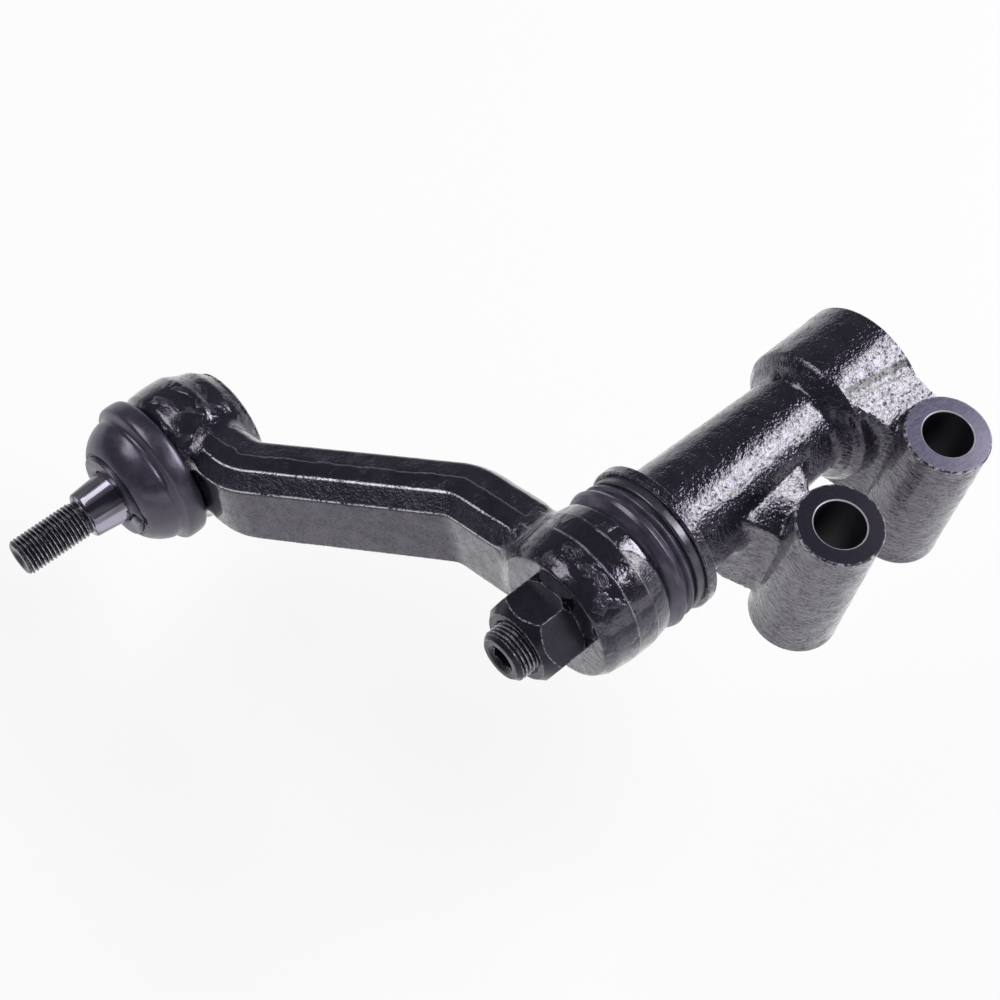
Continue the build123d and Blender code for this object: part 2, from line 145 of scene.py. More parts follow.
def mixNumber(tree, factor, first, second):
    node = tree.nodes.new("ShaderNodeMix")
    for index, value in ((0, factor), (2, first), (3, second)):
        feed(tree, node.inputs[index], value)
    return node.outputs[0]


def windowOf(tree, value, low, lowEnd, highStart, high):
    falling = remap(tree, value, highStart, high, 1.0, 0.0)
    return calc(tree, "MULTIPLY", remap(tree, value, low, lowEnd), falling)


def noiseOf(tree, vector, size, detail=2.0, rough=0.5, stretch=None, warp=0.0):
    where = vector
    if stretch is not None:
        where = vectorCalc(tree, "MULTIPLY", vector, stretch)
    node = addNode(tree, "ShaderNodeTexNoise", Vector=where, Scale=1.0 / size, Detail=detail, Roughness=rough)
    node.inputs["Distortion"].default_value = warp
    return node.outputs[0]


def startGroup(name, inputs, outputs):
    tree = bpy.data.node_groups.new(name, "ShaderNodeTree")
    for label, kind, default in inputs:
        socket = tree.interface.new_socket(name=label, in_out="INPUT", socket_type=kind)
        if default is not None:
            socket.default_value = default
    for label, kind in outputs:
        tree.interface.new_socket(name=label, in_out="OUTPUT", socket_type=kind)
    given = tree.nodes.new("NodeGroupInput").outputs
    result = tree.nodes.new("NodeGroupOutput").inputs
    return tree, given, result


def useGroup(tree, group, **inputs):
    node = tree.nodes.new("ShaderNodeGroup")
    node.node_tree = group
    for name, value in inputs.items():
        feed(tree, node.inputs[name.replace("_", " ")], value)
    return node.outputs


def partsOf(tree, vector):
    node = tree.nodes.new("ShaderNodeSeparateXYZ")
    feed(tree, node.inputs[0], vector)
    return node.outputs


def anyOf(tree, first, second):
    return calc(tree, "ADD", first, second, clamp=True)


def without(tree, first, second):
    return calc(tree, "SUBTRACT", first, second, clamp=True)


number = "NodeSocketFloat"
vector3 = "NodeSocketVector"


# surface effects, each one group that several materials share

def makeSandSkin():
    inputs = [("Place", vector3, None), ("Grain Size", number, 0.9), ("Grain Depth", number, 0.05),
              ("Lump Size", number, 5.0), ("Lump Depth", number, 0.12)]
    tree, given, result = startGroup("sandSkin", inputs, [("Height", number), ("Tone", number)])
    place = given["Place"]
    wobble = addNode(tree, "ShaderNodeTexNoise", Vector=place, Scale=0.35, Detail=1.0)
    shift = vectorCalc(tree, "SCALE", wobble.outputs["Color"])
    shift.node.inputs["Scale"].default_value = 2.0
    moved = vectorCalc(tree, "ADD", place, shift)
    grain = addNode(tree, "ShaderNodeTexNoise", Vector=moved, Detail=1.6, Roughness=0.5)
    feed(tree, grain.inputs["Scale"], calc(tree, "DIVIDE", 1.0, given["Grain Size"]))
    pits = addNode(tree, "ShaderNodeTexVoronoi", Vector=moved)
    feed(tree, pits.inputs["Scale"], calc(tree, "DIVIDE", 0.55, given["Grain Size"]))
    lumps = addNode(tree, "ShaderNodeTexNoise", Vector=moved, Detail=2.0, Roughness=0.5)
    feed(tree, lumps.inputs["Scale"], calc(tree, "DIVIDE", 1.0, given["Lump Size"]))
    pitted = remap(tree, pits.outputs["Distance"], 0.05, 0.5)
    fine = calc(tree, "MULTIPLY_ADD", pitted, 0.45, grain.outputs[0])
    height = calc(tree, "MULTIPLY", fine, given["Grain Depth"])
    height = calc(tree, "MULTIPLY_ADD", lumps.outputs[0], given["Lump Depth"], height)
    feed(tree, result["Height"], height)
    blotch = calc(tree, "MULTIPLY", lumps.outputs[0], 0.5)
    feed(tree, result["Tone"], remap(tree, calc(tree, "MULTIPLY_ADD", fine, 0.5, blotch), 0.44, 0.84))
    return tree


def makeEdgeShine():
    inputs = [("Place", vector3, None), ("Width", number, 0.0006), ("Gain", number, 4.0),
              ("Breakup", number, 1.5)]
    tree, given, result = startGroup("edgeShine", inputs, [("Mask", number)])
    soft = tree.nodes.new("ShaderNodeBevel")
    soft.samples = 4
    feed(tree, soft.inputs["Radius"], given["Width"])
    real = tree.nodes.new("ShaderNodeNewGeometry")
    match = vectorCalc(tree, "DOT_PRODUCT", soft.outputs[0], real.outputs["Normal"])
    bend = calc(tree, "MULTIPLY", calc(tree, "SUBTRACT", 1.0, match), given["Gain"], clamp=True)
    chips = addNode(tree, "ShaderNodeTexNoise", Vector=given["Place"], Detail=4.0, Roughness=0.7)
    feed(tree, chips.inputs["Scale"], calc(tree, "DIVIDE", 1.0, given["Breakup"]))
    keep = remap(tree, chips.outputs[0], 0.38, 0.6)
    feed(tree, result["Mask"], calc(tree, "MULTIPLY", bend, keep))
    return tree


def makeTurnedMarks():
    inputs = [("Distance", number, 0.0), ("Place", vector3, None), ("Pitch", number, 0.3),
              ("Depth", number, 0.01)]
    tree, given, result = startGroup("turnedMarks", inputs, [("Height", number)])
    line = tree.nodes.new("ShaderNodeCombineXYZ")
    feed(tree, line.inputs[0], calc(tree, "DIVIDE", given["Distance"], given["Pitch"]))
    rings = addNode(tree, "ShaderNodeTexNoise", Vector=line.outputs[0], Scale=1.0, Detail=3.0, Roughness=0.6)
    drift = addNode(tree, "ShaderNodeTexNoise", Vector=given["Place"], Scale=0.15, Detail=1.0)
    amount = remap(tree, drift.outputs[0], 0.3, 0.7, 0.5, 1.0)
    marks = calc(tree, "MULTIPLY", rings.outputs[0], given["Depth"])
    feed(tree, result["Height"], calc(tree, "MULTIPLY", marks, amount))
    return tree


def makeSmudges():
    inputs = [("Place", vector3, None), ("Size", number, 12.0), ("Low", number, 0.15), ("High", number, 0.3)]
    tree, given, result = startGroup("smudges", inputs, [("Roughness", number), ("Mask", number)])
    broad = addNode(tree, "ShaderNodeTexNoise", Vector=given["Place"], Detail=4.0, Roughness=0.6)
    feed(tree, broad.inputs["Scale"], calc(tree, "DIVIDE", 1.0, given["Size"]))
    mask = remap(tree, broad.outputs[0], 0.35, 0.65)
    feed(tree, result["Mask"], mask)
    feed(tree, result["Roughness"], mixNumber(tree, mask, given["Low"], given["High"]))
    return tree


def makeAroundAxis():
    inputs = [("Place", vector3, None), ("Center", vector3, (0, 0, 0)), ("Direction", vector3, (1, 0, 0))]
    outputs = [("Radius", number), ("Along", number)]
    tree, given, result = startGroup("aroundAxis", inputs, outputs)
    offset = vectorCalc(tree, "SUBTRACT", given["Place"], given["Center"])
    along = vectorCalc(tree, "DOT_PRODUCT", offset, given["Direction"])
    foot = tree.nodes.new("ShaderNodeVectorMath")
    foot.operation = "SCALE"
    feed(tree, foot.inputs[0], given["Direction"])
    feed(tree, foot.inputs["Scale"], along)
    across = vectorCalc(tree, "SUBTRACT", offset, foot.outputs[0])
    feed(tree, result["Radius"], vectorCalc(tree, "LENGTH", across))
    feed(tree, result["Along"], along)
    return tree


sandSkin = makeSandSkin()
edgeShine = makeEdgeShine()
turnedMarks = makeTurnedMarks()
smudges = makeSmudges()
aroundAxis = makeAroundAxis()
print("surface groups made")


def startMaterial(name, finish):
    material = bpy.data.materials.new(name)
    material.use_nodes = True
    tree = material.node_tree
    shader = tree.nodes["Principled BSDF"]
    shader.inputs["Metallic"].default_value = finish.get("metallic", 0.0)
    shader.inputs["Specular IOR Level"].default_value = finish.get("specular", 0.5)
    shader.inputs["IOR"].default_value = finish.get("ior", 1.5)
    shader.inputs["Specular Tint"].default_value = (*finish.get("tint", (1, 1, 1)), 1)
    shader.inputs["Coat Roughness"].default_value = finish.get("coatRough", 0.10)
    shader.inputs["Coat IOR"].default_value = finish.get("coatIor", 1.5)
    material.diffuse_color = (*finish["color"], 1)
    where = tree.nodes.new("ShaderNodeTexCoord")
    place = vectorCalc(tree, "MULTIPLY", where.outputs["Object"], (1000, 1000, 1000))
    return material, tree, shader, place, where


def setBump(tree, shader, height):
    bump = tree.nodes.new("ShaderNodeBump")
    bump.inputs["Strength"].default_value = 1.0
    bump.inputs["Distance"].default_value = mm
    feed(tree, bump.inputs["Height"], height)
    feed(tree, shader.inputs["Normal"], bump.outputs[0])


def asColor(values):
    return (*values, 1)


# black paint on the cast bracket, with machined boss ends and bolt bores

bracketFinish = {
    "color": (0.0060, 0.0056, 0.0085),
    "duller": (0.0115, 0.0108, 0.0155),
    "wearAndHighlight": (0.60, 0.58, 0.64),
    "frontFace": (0.012, 0.011, 0.017),
    "rearFace": (0.150, 0.140, 0.208),
    "scratch": (0.17, 0.165, 0.21),
    "bore": (0.006, 0.0058, 0.009),
    "chamfer": (0.80, 0.79, 0.84),
    "tint": (0.85, 0.77, 1.0),
    "ior": 1.58,
    "specular": 0.74,
    "coatIor": 1.52,
    "roughLow": 0.10,
    "roughHigh": 0.19,
    "grainSize": 0.88,
    "grainDepth": 0.24,
    "lumpSize": 5.0,
    "lumpDepth": 0.30,
    "edgeWidth": 0.0007,
    "edgeGain": 3.0,
    "bossReach": 16.2,
    "footHeight": -61.1,
    "boreMiddle": 30.7,
    "boreHalf": 29.6,
    "chamferWidth": 0.5,
    "faceRough": 0.16,
    "boreRough": 0.5,
    # pale colour of the ripples on upright faces, a painted reflection of the floor
    "ripple": (0.105, 0.088, 0.125),
    "rippleSize": 2.3,
    "rippleDepth": 0.22,
    "sideGain": 0.6,
    "hollowFrom": 9.5,
    "hollowTurn": math.radians(111.9),
    "hollowLean": math.radians(0.45),
    "hollowWidth": math.radians(7.5),
    "hollowDepth": 0.9,
}


def headHollow(tree, place, finish):
    # a shallow hollow running along the flank of the head
    x, y, z = partsOf(tree, vectorCalc(tree, "SUBTRACT", place, pivotCenter))
    turn = calc(tree, "ARCTAN2", z, y)
    along = calc(tree, "SUBTRACT", x, finish["hollowFrom"])
    middle = calc(tree, "MULTIPLY_ADD", along, finish["hollowLean"], finish["hollowTurn"])
    aside = calc(tree, "ABSOLUTE", calc(tree, "SUBTRACT", turn, middle))
    dip = remap(tree, aside, 0.0, finish["hollowWidth"], finish["hollowDepth"], 0.0)
    return calc(tree, "MULTIPLY", dip, remap(tree, x, finish["hollowFrom"], finish["hollowFrom"] + 2.0))


def makeBracketPaint(finish):
    material, tree, shader, place, where = startMaterial("bracketPaint", finish)
    skin = useGroup(tree, sandSkin, Place=place, Grain_Size=finish["grainSize"],
                    Grain_Depth=finish["grainDepth"], Lump_Size=finish["lumpSize"],
                    Lump_Depth=finish["lumpDepth"])
    haze = useGroup(tree, smudges, Place=place, Size=9.0, Low=finish["roughLow"], High=finish["roughHigh"])
    edge = useGroup(tree, edgeShine, Place=place, Width=finish["edgeWidth"], Gain=finish["edgeGain"],
                    Breakup=1.2)

    # machined ends, bores and their chamfers, found by distance from the two bolt axes
    half = layout["boltSpacing"] / 2
    front = useGroup(tree, aroundAxis, Place=place, Center=(-half, 0, 0), Direction=(0, 0, 1))
    rear = useGroup(tree, aroundAxis, Place=place, Center=(half, 0, 0), Direction=(0, 0, 1))
    radius = calc(tree, "MINIMUM", front["Radius"], rear["Radius"])
    sideways, _, height = partsOf(tree, place)
    nearBoss = calc(tree, "LESS_THAN", radius, finish["bossReach"])
    top = calc(tree, "MULTIPLY", calc(tree, "GREATER_THAN", height, -0.02), nearBoss)
    foot = calc(tree, "MULTIPLY", calc(tree, "LESS_THAN", height, finish["footHeight"]), nearBoss)
    face = anyOf(tree, top, foot)
    fromMiddle = calc(tree, "ABSOLUTE", calc(tree, "ADD", height, finish["boreMiddle"]))
    deep = calc(tree, "LESS_THAN", fromMiddle, finish["boreHalf"])
    bore = calc(tree, "LESS_THAN", radius, calc(tree, "MULTIPLY_ADD", deep, 0.7, layout["boltBore"] + 0.04))
    machined = anyOf(tree, face, bore)
    nearBore = calc(tree, "LESS_THAN", radius, layout["boltBore"] + finish["chamferWidth"])
    chamfer = without(tree, nearBore, machined)
    plain = without(tree, 1.0, anyOf(tree, machined, chamfer))

    # ripples on the upright faces, bumped and painted pale as a painted reflection of the floor
    upNormal = calc(tree, "ABSOLUTE", partsOf(tree, where.outputs["Normal"])[2])
    upright = calc(tree, "MULTIPLY", remap(tree, upNormal, 0.2, 0.6, 1.0, 0.0), plain)
    ripples = noiseOf(tree, place, finish["rippleSize"], 3.0, 0.6, stretch=(0.5, 0.5, 1.4), warp=0.8)
    rippled = calc(tree, "MULTIPLY", remap(tree, ripples, 0.40, 0.62), upright)

    paint = mixColor(tree, haze["Mask"], asColor(finish["color"]), asColor(finish["duller"]))
    # painted reflection: upright faces turn pale in their ripples
    paint = mixColor(tree, rippled, paint, asColor(finish["ripple"]))
    # painted highlight: the convex edges are painted light, standing in for edge glints
    paint = mixColor(tree, edge["Mask"], paint, asColor(finish["wearAndHighlight"]))
    scratches = noiseOf(tree, place, 3.0, 6.0, 0.7, stretch=(1.0, 3.5, 1.0), warp=0.6)
    fine = noiseOf(tree, place, 0.7, 3.0, 0.7, stretch=(1.0, 4.0, 1.0), warp=1.5)
    fineScratch = calc(tree, "MULTIPLY", remap(tree, fine, 0.60, 0.72), 0.5)
    onRear = calc(tree, "GREATER_THAN", sideways, 0.0)
    faceTone = mixColor(tree, onRear, asColor(finish["frontFace"]), asColor(finish["rearFace"]))
    longScratch = remap(tree, scratches, 0.35, 0.65, 0.45, 0.0)
    faceTone = mixColor(tree, longScratch, faceTone, asColor(finish["color"]))
    faceTone = mixColor(tree, fineScratch, faceTone, asColor(finish["scratch"]))
    edgeAt = layout["bossTop"]
    rim = windowOf(tree, radius, edgeAt - 0.9, edgeAt - 0.35, edgeAt + 0.4, edgeAt + 0.8)
    rim = calc(tree, "MULTIPLY", rim, calc(tree, "GREATER_THAN", height, -1.2))
    chipped = calc(tree, "MULTIPLY", rim, remap(tree, noiseOf(tree, place, 1.6, 4.0, 0.7), 0.48, 0.60))
    base = mixColor(tree, face, paint, faceTone)
    base = mixColor(tree, bore, base, asColor(finish["bore"]))
    base = mixColor(tree, chipped, base, asColor(finish["wearAndHighlight"]))
    base = mixColor(tree, chamfer, base, asColor(finish["chamfer"]))
    feed(tree, shader.inputs["Base Color"], base)

    rough = mixNumber(tree, face, haze["Roughness"], finish["faceRough"])
    feed(tree, shader.inputs["Roughness"], mixNumber(tree, bore, rough, finish["boreRough"]))
    feed(tree, shader.inputs["Coat Weight"], calc(tree, "MULTIPLY", skin["Tone"], plain))
    feed(tree, shader.inputs["Metallic"], calc(tree, "MULTIPLY", chamfer, 0.25))

    marks = useGroup(tree, turnedMarks, Distance=radius, Place=place, Pitch=0.35, Depth=0.012)
    ringMarks = useGroup(tree, turnedMarks, Distance=height, Place=place, Pitch=0.5, Depth=0.03)
    gain = calc(tree, "MULTIPLY_ADD", upright, finish["sideGain"], 1.0)
    bump = calc(tree, "MULTIPLY", skin["Height"], calc(tree, "MULTIPLY", gain, plain))
    bump = calc(tree, "MULTIPLY_ADD", rippled, finish["rippleDepth"], bump)
    bump = calc(tree, "SUBTRACT", bump, headHollow(tree, place, finish))
    bump = calc(tree, "MULTIPLY_ADD", marks["Height"], face, bump)
    bump = calc(tree, "MULTIPLY_ADD", ringMarks["Height"], bore, bump)
    setBump(tree, shader, bump)
    return material


# black paint on the forged arm: smooth wavy flats, rough bevels

armFinish = {
    "color": (0.0062, 0.0058, 0.0090),
    "duller": (0.0110, 0.0104, 0.0150),
    "wearAndHighlight": (0.95, 0.93, 0.98),
    # colour of the painted shadow line below the bevel
    "creaseShadow": (0.002, 0.002, 0.003),
    "tint": (0.85, 0.77, 1.0),
    "ior": 1.58,
    "specular": 0.74,
    "coatIor": 1.52,
    "roughLow": 0.10,
    "roughHigh": 0.19,
    "bevelRough": 0.30,
    "patchRough": 0.33,
    "creaseRough": 0.6,
    "patchSize": 8.0,
    "patchGain": 2.0,
    "bevelGain": 1.8,
    "rippleDepth": 0.09,
    "hairDepth": 0.05,
    "webEnds": (22.0, 30.0, 140.0, 148.0),
    "eyeReach": 24.0,
    "waveSize": 4.5,
    "waveDepth": 0.16,
    "speckleSize": 0.7,
    "speckleDepth": 0.085,
    "partingDepth": 0.22,
    "flashX": (-95.25, -87.55),
}


def makeArmPaint(finish):
    material, tree, shader, place, where = startMaterial("armPaint", finish)
    away = vectorCalc(tree, "SUBTRACT", place, pivotCenter)
    along = vectorCalc(tree, "DOT_PRODUCT", away, tuple(armDirection))
    rise = calc(tree, "ABSOLUTE", vectorCalc(tree, "DOT_PRODUCT", away, tuple(armUp)))
    normal = where.outputs["Normal"]
    up = calc(tree, "ABSOLUTE", vectorCalc(tree, "DOT_PRODUCT", normal, tuple(armUp)))
    web = windowOf(tree, along, *finish["webEnds"])
    ends = without(tree, 1.0, web)
    front = calc(tree, "LESS_THAN", partsOf(tree, normal)[0], -0.05)
    webFront = calc(tree, "MULTIPLY", web, front)
    chips = noiseOf(tree, place, 0.75, 2.0, 0.6)
    drift = noiseOf(tree, place, 7.0, 2.0, 0.5)

    # the web's front: a rough bevel between two painted highlight lines, with a painted shadow line in the
    # crease below
    bevel = calc(tree, "MULTIPLY", windowOf(tree, up, 0.60, 0.66, 0.76, 0.82), webFront)
    upperHighlight = windowOf(tree, up, 0.80, 0.87, 0.93, 0.97)
    lowerHighlight = windowOf(tree, up, 0.26, 0.38, 0.50, 0.62)
    broken = remap(tree, calc(tree, "MULTIPLY_ADD", drift, 0.6, chips), 0.66, 0.84)
    line = calc(tree, "MULTIPLY", anyOf(tree, upperHighlight, lowerHighlight), webFront)
    line = calc(tree, "MULTIPLY", line, broken)
    creaseShadow = calc(tree, "MULTIPLY", windowOf(tree, up, 0.05, 0.10, 0.20, 0.28), webFront)

    # where the two forging dies met: a thin raised line along the web and two round the eye
    middle = tree.nodes.new("ShaderNodeMapRange")
    for socket, value in zip(middle.inputs, (along, *layout["webBends"], *layout["webMid"])):
        feed(tree, socket, value)
    sideways = partsOf(tree, place)[0]
    wander = noiseOf(tree, place, 9.0, 3.0, 0.6)
    fromMiddle = calc(tree, "SUBTRACT", sideways, middle.outputs[0])
    fromMiddle = calc(tree, "MULTIPLY_ADD", wander, -3.4, calc(tree, "ADD", fromMiddle, 1.2))
    parting = remap(tree, calc(tree, "ABSOLUTE", fromMiddle), 0.10, 0.42, 1.0, 0.0)
    parting = calc(tree, "MULTIPLY", parting, web)
    parting = calc(tree, "MULTIPLY", parting, calc(tree, "GREATER_THAN", rise, 13.0))
    flash = None
    for x in finish["flashX"]:
        wave = calc(tree, "MULTIPLY_ADD", wander, 1.1, calc(tree, "SUBTRACT", sideways, x + 0.55))
        ridge = remap(tree, calc(tree, "ABSOLUTE", wave), 0.12, 0.5, 1.0, 0.0)
        flash = ridge if flash is None else calc(tree, "MAXIMUM", flash, ridge)
    onEye = calc(tree, "LESS_THAN", along, finish["eyeReach"])
    onEye = calc(tree, "MULTIPLY", onEye, remap(tree, drift, 0.36, 0.56, 0.15, 1.0))
    flash = calc(tree, "MULTIPLY", flash, onEye)
    raised = calc(tree, "MAXIMUM", parting, flash)

    skin = useGroup(tree, sandSkin, Place=place, Grain_Size=finish["speckleSize"],
                    Grain_Depth=finish["speckleDepth"], Lump_Size=finish["waveSize"],
                    Lump_Depth=finish["waveDepth"])
    haze = useGroup(tree, smudges, Place=place, Size=14.0, Low=finish["roughLow"], High=finish["roughHigh"])
    patches = remap(tree, noiseOf(tree, place, finish["patchSize"], 2.0, 0.5, warp=0.6), 0.53, 0.64)
    crumpled = calc(tree, "MULTIPLY", patches, ends)
    paint = mixColor(tree, haze["Mask"], asColor(finish["color"]), asColor(finish["duller"]))
    # painted shadow: a dark line painted below the bevel
    paint = mixColor(tree, creaseShadow, paint, asColor(finish["creaseShadow"]))
    traced = calc(tree, "MULTIPLY_ADD", parting, 0.10, calc(tree, "MULTIPLY", flash, 0.45))
    paint = mixColor(tree, calc(tree, "MULTIPLY", traced, chips), paint, asColor(finish["wearAndHighlight"]))
    # painted highlight: the two lines along the bevel are painted near white
    paint = mixColor(tree, line, paint, asColor(finish["wearAndHighlight"]))
    feed(tree, shader.inputs["Base Color"], paint)
    rough = mixNumber(tree, bevel, haze["Roughness"], finish["bevelRough"])
    rough = mixNumber(tree, crumpled, rough, finish["patchRough"])
    feed(tree, shader.inputs["Roughness"], mixNumber(tree, creaseShadow, rough, finish["creaseRough"]))
    feed(tree, shader.inputs["Coat Weight"], without(tree, skin["Tone"], calc(tree, "MULTIPLY", bevel, 0.6)))

    ripple = noiseOf(tree, place, 2.2, 3.0, 0.6, stretch=(1.0, 0.5, 1.0), warp=0.9)
    hairs = calc(tree, "SUBTRACT", noiseOf(tree, place, 5.0, 2.0, 0.5, warp=1.2), 0.5)
    hair = remap(tree, calc(tree, "ABSOLUTE", hairs), 0.0, 0.012, 1.0, 0.0)
    hair = calc(tree, "MULTIPLY", hair, calc(tree, "MULTIPLY", remap(tree, drift, 0.50, 0.62), web))
    amount = calc(tree, "MULTIPLY_ADD", bevel, finish["bevelGain"], 0.6)
    amount = calc(tree, "MULTIPLY_ADD", crumpled, finish["patchGain"], amount)
    height = calc(tree, "MULTIPLY", skin["Height"], amount)
    height = calc(tree, "MULTIPLY_ADD", ripple, finish["rippleDepth"], height)
    height = calc(tree, "MULTIPLY_ADD", raised, finish["partingDepth"], height)
    height = calc(tree, "MULTIPLY_ADD", hair, finish["hairDepth"], height)
    setBump(tree, shader, height)
    return material


# plain metals and polymers

def turnedHeight(tree, finish, place, where, around):
    marks = {"Place": place, "Pitch": finish["turnPitch"], "Depth": finish["turnDepth"]}
    ends = useGroup(tree, turnedMarks, Distance=around["Radius"], **marks)
    sides = useGroup(tree, turnedMarks, Distance=around["Along"], **marks)
    sideways = calc(tree, "ABSOLUTE", partsOf(tree, where.outputs["Normal"])[0])
    endOn = calc(tree, "GREATER_THAN", sideways, 0.8)
    return mixNumber(tree, endOn, sides["Height"], ends["Height"])


def threadAndTaper(tree, finish, place, around, base, rough):
    onThread = calc(tree, "LESS_THAN", partsOf(tree, place)[0], finish["threadEnd"])
    # painted highlight: the thread crests are painted light as glints
    crestGlint = remap(tree, around["Radius"], finish["crestRadius"] - 0.28, finish["crestRadius"] - 0.02)
    crestGlint = calc(tree, "MULTIPLY", crestGlint, remap(tree, noiseOf(tree, place, 1.6, 3.0, 0.7), 0.36, 0.60))
    crestGlint = calc(tree, "MULTIPLY", crestGlint, onThread)
    # lengthwise polishing streaks, painted light and dark as painted reflection bands on the taper
    streaksAndReflections = noiseOf(tree, place, 6.5, 2.0, 0.5, stretch=(0.04, 1.0, 1.0))
    bright = asColor(finish["polished"])
    dim = asColor(tuple(finish["streakShare"] * c for c in finish["polished"]))
    polished = mixColor(tree, remap(tree, streaksAndReflections, 0.40, 0.60), dim, bright)
    base = mixColor(tree, onThread, polished, base)
    base = mixColor(tree, calc(tree, "MULTIPLY", crestGlint, 0.9), base, asColor(finish["wearAndHighlight"]))
    return base, mixNumber(tree, onThread, finish["polishedRough"], rough)


def makeMetal(name, finish):
    material, tree, shader, place, where = startMaterial(name, finish)
    haze = useGroup(tree, smudges, Place=place, Size=6.0, Low=finish["roughLow"], High=finish["roughHigh"])
    edge = useGroup(tree, edgeShine, Place=place, Width=finish.get("edgeWidth", 0.0004),
                    Gain=finish.get("edgeGain", 4.0), Breakup=1.0)
    fleck = noiseOf(tree, place, finish.get("fleckSize", 0.5), 3.0, 0.6)
    base = mixColor(tree, remap(tree, fleck, 0.35, 0.7), asColor(finish["color"]), asColor(finish["duller"]))
    # painted highlight: the convex edges are painted light
    shine = calc(tree, "MULTIPLY", edge["Mask"], finish.get("edgeMix", 0.8))
    base = mixColor(tree, shine, base, asColor(finish["wearAndHighlight"]))
    rough = haze["Roughness"]
    height = calc(tree, "MULTIPLY", fleck, finish.get("fleckDepth", 0.004))
    if "turnCenter" in finish:
        around = useGroup(tree, aroundAxis, Place=place, Center=finish["turnCenter"], Direction=(1, 0, 0))
        height = calc(tree, "ADD", height, turnedHeight(tree, finish, place, where, around))
        if "crestRadius" in finish:
            base, rough = threadAndTaper(tree, finish, place, around, base, rough)
    feed(tree, shader.inputs["Base Color"], base)
    feed(tree, shader.inputs["Roughness"], rough)
    setBump(tree, shader, height)
    return material


violet = (0.87, 0.80, 1.0)

metalFinishes = {
    "nutSteel": {
        "color": (0.007, 0.0066, 0.010), "duller": (0.013, 0.0122, 0.018), "wearAndHighlight": (0.62, 0.61, 0.66),
        "metallic": 0.0, "roughLow": 0.22, "roughHigh": 0.32, "specular": 0.62, "tint": violet,
        "edgeWidth": 0.0007, "edgeGain": 14.0, "edgeMix": 1.0, "fleckSize": 0.8, "fleckDepth": 0.02},
    "shaftSteel": {
        "color": (0.060, 0.058, 0.070), "duller": (0.030, 0.029, 0.037), "wearAndHighlight": (0.80, 0.79, 0.84),
        "metallic": 0.7, "roughLow": 0.20, "roughHigh": 0.34, "edgeGain": 9.0, "edgeMix": 0.9,
        "turnCenter": pivotCenter, "turnPitch": 0.4, "turnDepth": 0.010, "crestRadius": 9.0,
        "threadEnd": -107.0, "polished": (0.40, 0.39, 0.44), "streakShare": 0.15, "polishedRough": 0.2},
    "studSteel": {
        "color": (0.050, 0.048, 0.060), "duller": (0.022, 0.021, 0.028), "wearAndHighlight": (0.80, 0.79, 0.84),
        "metallic": 0.8, "roughLow": 0.16, "roughHigh": 0.30, "edgeWidth": 0.00035, "edgeGain": 8.0,
        "turnCenter": studCenter, "turnPitch": 0.5, "turnDepth": 0.008, "crestRadius": 7.0,
        "threadEnd": -179.2, "polished": (0.46, 0.43, 0.52), "streakShare": 0.15, "polishedRough": 0.13},
    "coverSteel": {
        "color": (0.10, 0.098, 0.115), "duller": (0.14, 0.137, 0.16), "wearAndHighlight": (0.7, 0.7, 0.72),
        "metallic": 0.8, "roughLow": 0.24, "roughHigh": 0.38,
        "turnCenter": studCenter, "turnPitch": 0.6, "turnDepth": 0.005},
    "plugSteel": {
        "color": (0.10, 0.098, 0.115), "duller": (0.14, 0.137, 0.16), "wearAndHighlight": (0.7, 0.7, 0.72),
        "metallic": 0.8, "roughLow": 0.24, "roughHigh": 0.38,
        "turnCenter": pivotCenter, "turnPitch": 0.6, "turnDepth": 0.005},
    "springSteel": {
        "color": (0.16, 0.15, 0.17), "duller": (0.10, 0.09, 0.11), "wearAndHighlight": (0.6, 0.6, 0.62),
        "metallic": 0.9, "roughLow": 0.25, "roughHigh": 0.4},
    "washerSteel": {
        "color": (0.50, 0.49, 0.52), "duller": (0.38, 0.37, 0.41), "wearAndHighlight": (0.9, 0.9, 0.92),
        "metallic": 1.0, "roughLow": 0.2, "roughHigh": 0.32,
        "turnCenter": pivotCenter, "turnPitch": 0.35, "turnDepth": 0.006},
    "bushBronze": {
        "color": (0.60, 0.38, 0.17), "duller": (0.45, 0.27, 0.11), "wearAndHighlight": (0.9, 0.7, 0.4),
        "metallic": 1.0, "roughLow": 0.22, "roughHigh": 0.36,
        "turnCenter": pivotCenter, "turnPitch": 0.35, "turnDepth": 0.006},
    "seatPolymer": {
        "color": (0.72, 0.70, 0.62), "duller": (0.62, 0.60, 0.52), "wearAndHighlight": (0.8, 0.78, 0.7),
        "metallic": 0.0, "roughLow": 0.4, "roughHigh": 0.55},
}


# rubber of the boot and the dust seal

rubberFinishes = {
    "bootRubber": {
        "color": (0.026, 0.0235, 0.036), "dusty": (0.052, 0.047, 0.068), "specular": 1.0, "ior": 1.55,
        "tint": violet, "roughLow": 0.24, "roughHigh": 0.36, "center": studCenter},
    "sealRubber": {
        "color": (0.030, 0.027, 0.042), "dusty": (0.066, 0.060, 0.084), "specular": 1.0, "ior": 1.6,
        "tint": violet, "roughLow": 0.26, "roughHigh": 0.38, "center": pivotCenter},
}


